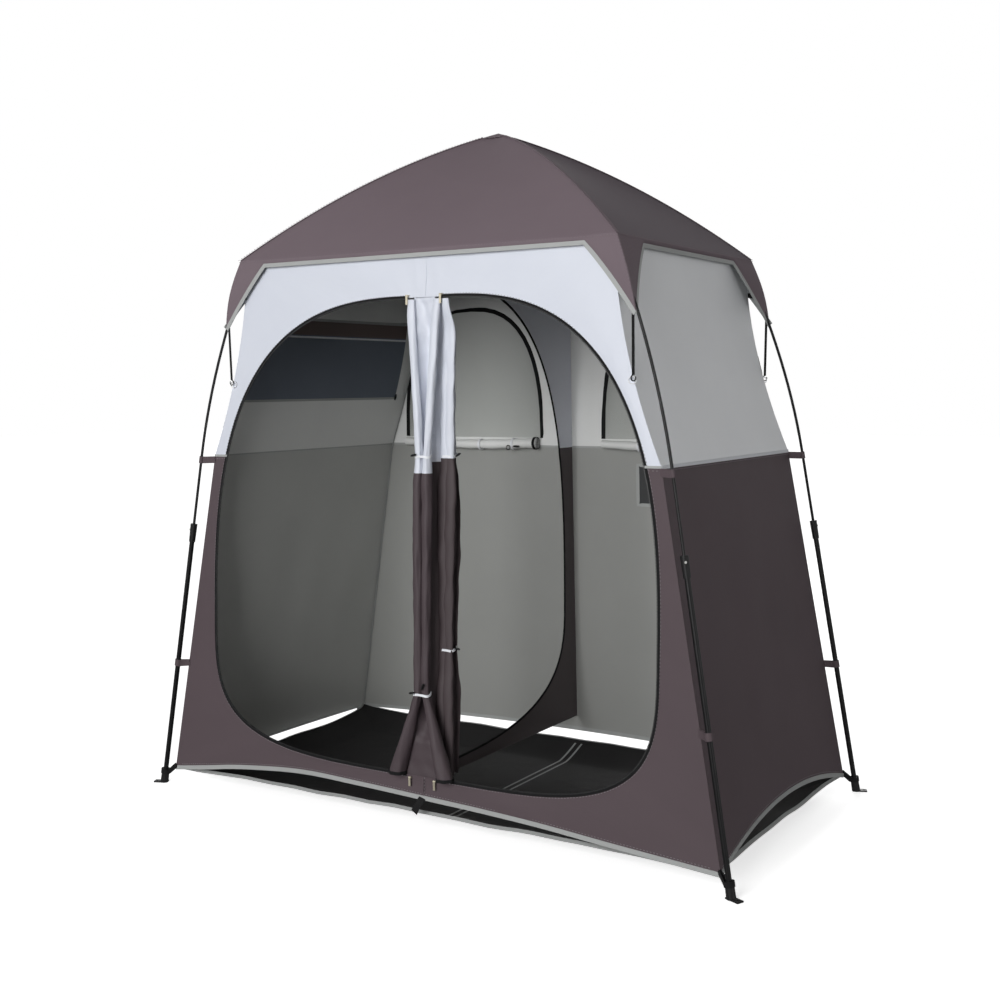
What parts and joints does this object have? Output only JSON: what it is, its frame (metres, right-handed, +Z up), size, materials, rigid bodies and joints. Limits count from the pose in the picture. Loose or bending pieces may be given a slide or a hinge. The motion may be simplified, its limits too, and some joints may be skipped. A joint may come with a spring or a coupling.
{
  "type": "privacy shower tent",
  "caption": "Two-room privacy shower tent on a folding hub frame, with tied-back doors, mesh windows, a divider with a way through, a canopy with corner flaps and a floor mat.",
  "frame": {"origin": "middle of the footprint, on the ground", "axes": "+Z up, X along the long side, doors facing -Y"},
  "size_m": [2.133, 1.1308, 2.15],
  "materials": {
    "canopy_cloth": "matt coated polyester, taupe brown",
    "upper_cloth": "satin silver-grey coated polyester",
    "lower_cloth": "matt coated polyester, taupe brown",
    "door_cloth": "gathered coated polyester, silver-grey above, taupe below",
    "window_mesh": "fine dark knitted mesh",
    "mat_sheet": "heavy coated sheet, near black",
    "webbing": "woven webbing, black",
    "black_plastic": "moulded nylon, black",
    "fibreglass_rod": "wrapped fibreglass rod, black",
    "coated_steel": "powder-coated steel tube, black",
    "plated_steel": "plated",
    "zip_brass": "plated zip pull"
  },
  "bodies": {
    "tent_body": {"front_upper_panel": "upper_cloth", "front_lower_panel": "lower_cloth", "rear_upper_panel": "upper_cloth", "rear_lower_panel": "lower_cloth", "left_upper_panel": "upper_cloth", "left_lower_panel": "lower_cloth", "right_upper_panel": "upper_cloth", "right_lower_panel": "lower_cloth", "divider_upper": "upper_cloth", "divider_lower": "lower_cloth", "floor_mat": "mat_sheet", "left_door": "door_cloth", "right_door": "door_cloth", "divider_door": "door_cloth", "left_window": "window_mesh", "rear_window_left": "window_mesh", "rear_window_right": "window_mesh", "window_roll_left": "upper_cloth", "window_roll_right": "upper_cloth", "mesh_pocket": "window_mesh", "front_tab": "webbing"},
    "hub": {"hub": "black_plastic", "canopy": "canopy_cloth"},
    "rib_front_left": {"roof_pole_front_left": "fibreglass_rod", "elbow_bracket_front_left": "black_plastic", "elbow_pin_front_left": "plated_steel"},
    "leg_front_left": {"upper_leg_front_left": "fibreglass_rod"},
    "lower_front_left": {"lower_leg_front_left": "coated_steel", "leg_lock_front_left": "black_plastic", "foot_front_left": "black_plastic"},
    "button_front_left": {"lock_button_front_left": "plated_steel"},
    "rib_front_right": {"roof_pole_front_right": "fibreglass_rod", "elbow_bracket_front_right": "black_plastic", "elbow_pin_front_right": "plated_steel"},
    "leg_front_right": {"upper_leg_front_right": "fibreglass_rod"},
    "lower_front_right": {"lower_leg_front_right": "coated_steel", "leg_lock_front_right": "black_plastic", "foot_front_right": "black_plastic"},
    "button_front_right": {"lock_button_front_right": "plated_steel"},
    "rib_rear_left": {"roof_pole_rear_left": "fibreglass_rod", "elbow_bracket_rear_left": "black_plastic", "elbow_pin_rear_left": "plated_steel"},
    "leg_rear_left": {"upper_leg_rear_left": "fibreglass_rod"},
    "lower_rear_left": {"lower_leg_rear_left": "coated_steel", "leg_lock_rear_left": "black_plastic", "foot_rear_left": "black_plastic"},
    "button_rear_left": {"lock_button_rear_left": "plated_steel"},
    "rib_rear_right": {"roof_pole_rear_right": "fibreglass_rod", "elbow_bracket_rear_right": "black_plastic", "elbow_pin_rear_right": "plated_steel"},
    "leg_rear_right": {"upper_leg_rear_right": "fibreglass_rod"},
    "lower_rear_right": {"lower_leg_rear_right": "coated_steel", "leg_lock_rear_right": "black_plastic", "foot_rear_right": "black_plastic"},
    "button_rear_right": {"lock_button_rear_right": "plated_steel"},
    "zip_pull_top_left": {"zip_pull_top_left": "zip_brass"},
    "zip_pull_top_right": {"zip_pull_top_right": "zip_brass"},
    "zip_pull_bottom_left": {"zip_pull_bottom_left": "zip_brass"},
    "zip_pull_bottom_right": {"zip_pull_bottom_right": "zip_brass"}
  },
  "joints": [
    {"name": "hub_rise", "type": "slide", "parent": "tent_body", "child": "hub", "axis": [0, 0, 1], "range_m": [0, 0.5295], "deforming": ["canopy", "front_upper_panel", "front_lower_panel", "rear_upper_panel", "rear_lower_panel", "left_upper_panel", "left_lower_panel", "right_upper_panel", "right_lower_panel", "divider_upper", "divider_lower", "floor_mat", "left_door", "right_door", "divider_door", "left_window", "rear_window_left", "rear_window_right", "window_roll_left", "window_roll_right", "mesh_pocket", "front_tab"]},
    {"name": "roof_pole_swing_front_left", "type": "hinge", "parent": "hub", "child": "rib_front_left", "pos_m": [-0.02591, -0.01878, 2.10599], "axis": [0.587, -0.8096, 0], "range_deg": [0, 60]},
    {"name": "elbow_swing_front_left", "type": "hinge", "parent": "rib_front_left", "child": "leg_front_left", "pos_m": [-0.65357, -0.47391, 1.74071], "axis": [-0.6327, 0.7669, 0.1074], "range_deg": [0, 49]},
    {"name": "leg_slide_front_left", "type": "slide", "parent": "leg_front_left", "child": "lower_front_left", "axis": [0.1637, 0.0277, 0.9861], "range_m": [0, 0.18]},
    {"name": "lock_press_front_left", "type": "slide", "parent": "lower_front_left", "child": "button_front_left", "axis": [0.5142, 0.8507, -0.1093], "range_m": [0, 0.0025], "stiffness_N_per_m": 800, "springref_m": -0.001},
    {"name": "roof_pole_swing_front_right", "type": "hinge", "parent": "hub", "child": "rib_front_right", "pos_m": [0.02591, -0.01878, 2.10599], "axis": [0.587, 0.8096, 0], "range_deg": [0, 60]},
    {"name": "elbow_swing_front_right", "type": "hinge", "parent": "rib_front_right", "child": "leg_front_right", "pos_m": [0.65357, -0.47391, 1.74071], "axis": [-0.6327, -0.7669, -0.1074], "range_deg": [0, 49]},
    {"name": "leg_slide_front_right", "type": "slide", "parent": "leg_front_right", "child": "lower_front_right", "axis": [-0.1637, 0.0277, 0.9861], "range_m": [0, 0.18]},
    {"name": "lock_press_front_right", "type": "slide", "parent": "lower_front_right", "child": "button_front_right", "axis": [-0.5142, 0.8507, -0.1093], "range_m": [0, 0.0025], "stiffness_N_per_m": 800, "springref_m": -0.001},
    {"name": "roof_pole_swing_rear_left", "type": "hinge", "parent": "hub", "child": "rib_rear_left", "pos_m": [-0.02591, 0.01878, 2.10599], "axis": [-0.587, -0.8096, 0], "range_deg": [0, 60]},
    {"name": "elbow_swing_rear_left", "type": "hinge", "parent": "rib_rear_left", "child": "leg_rear_left", "pos_m": [-0.65357, 0.47391, 1.74071], "axis": [0.6327, 0.7669, -0.1074], "range_deg": [0, 49]},
    {"name": "leg_slide_rear_left", "type": "slide", "parent": "leg_rear_left", "child": "lower_rear_left", "axis": [0.1637, -0.0277, 0.9861], "range_m": [0, 0.18]},
    {"name": "lock_press_rear_left", "type": "slide", "parent": "lower_rear_left", "child": "button_rear_left", "axis": [0.5142, -0.8507, -0.1093], "range_m": [0, 0.0025], "stiffness_N_per_m": 800, "springref_m": -0.001},
    {"name": "roof_pole_swing_rear_right", "type": "hinge", "parent": "hub", "child": "rib_rear_right", "pos_m": [0.02591, 0.01878, 2.10599], "axis": [-0.587, 0.8096, 0], "range_deg": [0, 60]},
    {"name": "elbow_swing_rear_right", "type": "hinge", "parent": "rib_rear_right", "child": "leg_rear_right", "pos_m": [0.65357, 0.47391, 1.74071], "axis": [0.6327, -0.7669, 0.1074], "range_deg": [0, 49]},
    {"name": "leg_slide_rear_right", "type": "slide", "parent": "leg_rear_right", "child": "lower_rear_right", "axis": [-0.1637, -0.0277, 0.9861], "range_m": [0, 0.18]},
    {"name": "lock_press_rear_right", "type": "slide", "parent": "lower_rear_right", "child": "button_rear_right", "axis": [-0.5142, -0.8507, -0.1093], "range_m": [0, 0.0025], "stiffness_N_per_m": 800, "springref_m": -0.001},
    {"name": "zip_pull_top_left_swing", "type": "hinge", "parent": "tent_body", "child": "zip_pull_top_left", "pos_m": [-0.024, -0.48233, 1.6076], "axis": [-1, 0, 0], "range_deg": [0, 110]},
    {"name": "zip_pull_top_right_swing", "type": "hinge", "parent": "tent_body", "child": "zip_pull_top_right", "pos_m": [0.096, -0.48233, 1.6076], "axis": [-1, 0, 0], "range_deg": [0, 110]},
    {"name": "zip_pull_bottom_left_swing", "type": "hinge", "parent": "tent_body", "child": "zip_pull_bottom_left", "pos_m": [-0.009, -0.5237, 0.1644], "axis": [-1, 0, 0], "range_deg": [0, 110]},
    {"name": "zip_pull_bottom_right_swing", "type": "hinge", "parent": "tent_body", "child": "zip_pull_bottom_right", "pos_m": [0.081, -0.5237, 0.1644], "axis": [-1, 0, 0], "range_deg": [0, 110]}
  ],
  "couplings": [
    {"joint": "roof_pole_swing_front_left", "follows": "hub_rise", "rad_per_m": 1.9776},
    {"joint": "elbow_swing_front_left", "follows": "hub_rise", "rad_per_m": 1.6152},
    {"joint": "roof_pole_swing_front_right", "follows": "hub_rise", "rad_per_m": 1.9776},
    {"joint": "elbow_swing_front_right", "follows": "hub_rise", "rad_per_m": 1.6152},
    {"joint": "roof_pole_swing_rear_left", "follows": "hub_rise", "rad_per_m": 1.9776},
    {"joint": "elbow_swing_rear_left", "follows": "hub_rise", "rad_per_m": 1.6152},
    {"joint": "roof_pole_swing_rear_right", "follows": "hub_rise", "rad_per_m": 1.9776},
    {"joint": "elbow_swing_rear_right", "follows": "hub_rise", "rad_per_m": 1.6152}
  ]
}
